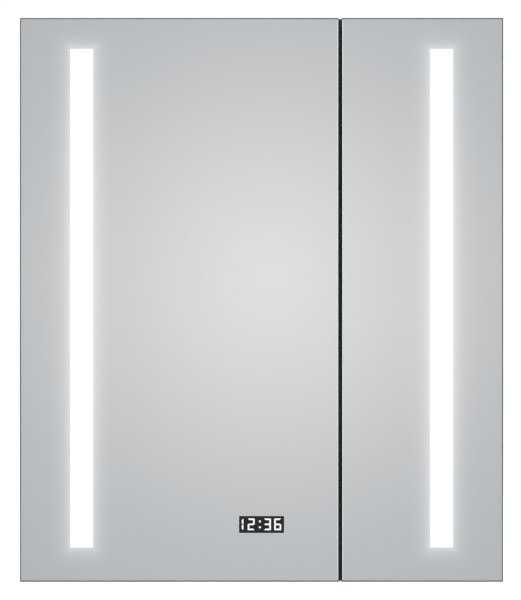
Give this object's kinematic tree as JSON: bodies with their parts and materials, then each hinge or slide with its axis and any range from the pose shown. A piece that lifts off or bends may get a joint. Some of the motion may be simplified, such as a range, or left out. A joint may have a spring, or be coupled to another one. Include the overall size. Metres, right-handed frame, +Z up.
{
  "type": "medicine cabinet with mirror",
  "caption": "Wall-hung bathroom cabinet with a wide and a narrow mirror door, a vertical light strip etched in each, a small digital clock, glass shelves and an inner socket unit.",
  "frame": {"origin": "centre of the back face, on the wall plane", "axes": "+X to the viewer's right when facing the mirrors, +Y into the wall, +Z up"},
  "size_m": [0.6, 0.14, 0.7],
  "materials": {
    "anodised_profile": "satin anodised, fine lines along the extrusion",
    "door_edge": "satin anodised grey",
    "raw_aluminium": "mill finish",
    "back_sheet": "thin white coating on sheet",
    "zinc_steel": "zinc plated",
    "nickel": "nickel plated die casting",
    "mirror": "silvered float glass",
    "shelf_glass": "clear toughened glass",
    "black_rubber": "matt",
    "white_plastic": "white, slightly glossy",
    "black_plastic": "black, glossy",
    "light_board": "white board with LEDs",
    "opal": "opal white"
  },
  "bodies": {
    "cabinet": {"left_side_panel": "anodised_profile", "right_side_panel": "anodised_profile", "top_panel": "anodised_profile", "bottom_panel": "anodised_profile", "corner_keys": "raw_aluminium", "divider_panel": "anodised_profile", "back_panel": "back_sheet", "hanger_plates": "zinc_steel", "hanger_rivets": "zinc_steel", "left_lower_shelf": "shelf_glass", "right_lower_shelf": "shelf_glass", "left_upper_shelf": "shelf_glass", "right_upper_shelf": "shelf_glass", "shelf_pegs": "nickel", "divider_seal": "black_rubber", "door_bumpers": "black_rubber", "led_driver": "white_plastic", "driver_cover": "back_sheet", "cable_grommet": "black_rubber", "outlet_box": "white_plastic", "outlet_face_plate": "white_plastic", "socket_insert": "white_plastic", "hinge_mounting_plates": "nickel", "plate_screws": "zinc_steel", "hinge_arms": "nickel", "arm_pins": "zinc_steel"},
    "left_hinge_links": {"left_hinge_links": "nickel"},
    "left_door": {"left_edge_band": "door_edge", "left_hinge_stile": "anodised_profile", "left_lock_stile": "anodised_profile", "left_top_rail": "anodised_profile", "left_bottom_rail": "anodised_profile", "left_front_mirror": "mirror", "left_back_mirror": "mirror", "left_led_channel": "raw_aluminium", "left_led_strip": "light_board", "left_diffuser": "opal", "left_hinge_cups": "nickel", "left_cup_pins": "zinc_steel", "left_cup_screws": "zinc_steel", "left_clock_housing": "black_plastic", "left_clock_display": "black_plastic"},
    "right_hinge_links": {"right_hinge_links": "nickel"},
    "right_door": {"right_edge_band": "door_edge", "right_hinge_stile": "anodised_profile", "right_lock_stile": "anodised_profile", "right_top_rail": "anodised_profile", "right_bottom_rail": "anodised_profile", "right_front_mirror": "mirror", "right_back_mirror": "mirror", "right_led_channel": "raw_aluminium", "right_led_strip": "light_board", "right_diffuser": "opal", "right_hinge_cups": "nickel", "right_cup_pins": "zinc_steel", "right_cup_screws": "zinc_steel"},
    "switch_rocker": {"switch_rocker": "white_plastic"},
    "hour_button": {"hour_button": "black_plastic"},
    "minute_button": {"minute_button": "black_plastic"}
  },
  "joints": [
    {"name": "left_link_swing", "type": "hinge", "parent": "cabinet", "child": "left_hinge_links", "pos_m": [-0.273, -0.1214, 0], "axis": [0, 0, -1], "range_deg": [-35, 0]},
    {"name": "left_door_swing", "type": "hinge", "parent": "left_hinge_links", "child": "left_door", "pos_m": [-0.2915, -0.1248, 0], "axis": [0, 0, -1], "range_deg": [0, 140]},
    {"name": "right_link_swing", "type": "hinge", "parent": "cabinet", "child": "right_hinge_links", "pos_m": [0.273, -0.1214, 0], "axis": [0, 0, 1], "range_deg": [-35, 0]},
    {"name": "right_door_swing", "type": "hinge", "parent": "right_hinge_links", "child": "right_door", "pos_m": [0.2915, -0.1248, 0], "axis": [0, 0, 1], "range_deg": [0, 140]},
    {"name": "switch_rock", "type": "hinge", "parent": "cabinet", "child": "switch_rocker", "pos_m": [0.05625, -0.063, 0.291], "axis": [0, 1, 0], "range_deg": [-5, 5]},
    {"name": "hour_button_press", "type": "slide", "parent": "left_door", "child": "hour_button", "axis": [0, -1, 0], "range_m": [0, 0.0012], "stiffness_N_per_m": 400},
    {"name": "minute_button_press", "type": "slide", "parent": "left_door", "child": "minute_button", "axis": [0, -1, 0], "range_m": [0, 0.0012], "stiffness_N_per_m": 400}
  ],
  "couplings": [
    {"joint": "left_link_swing", "follows": "left_door_swing", "ratio": -0.25},
    {"joint": "right_link_swing", "follows": "right_door_swing", "ratio": -0.25}
  ]
}
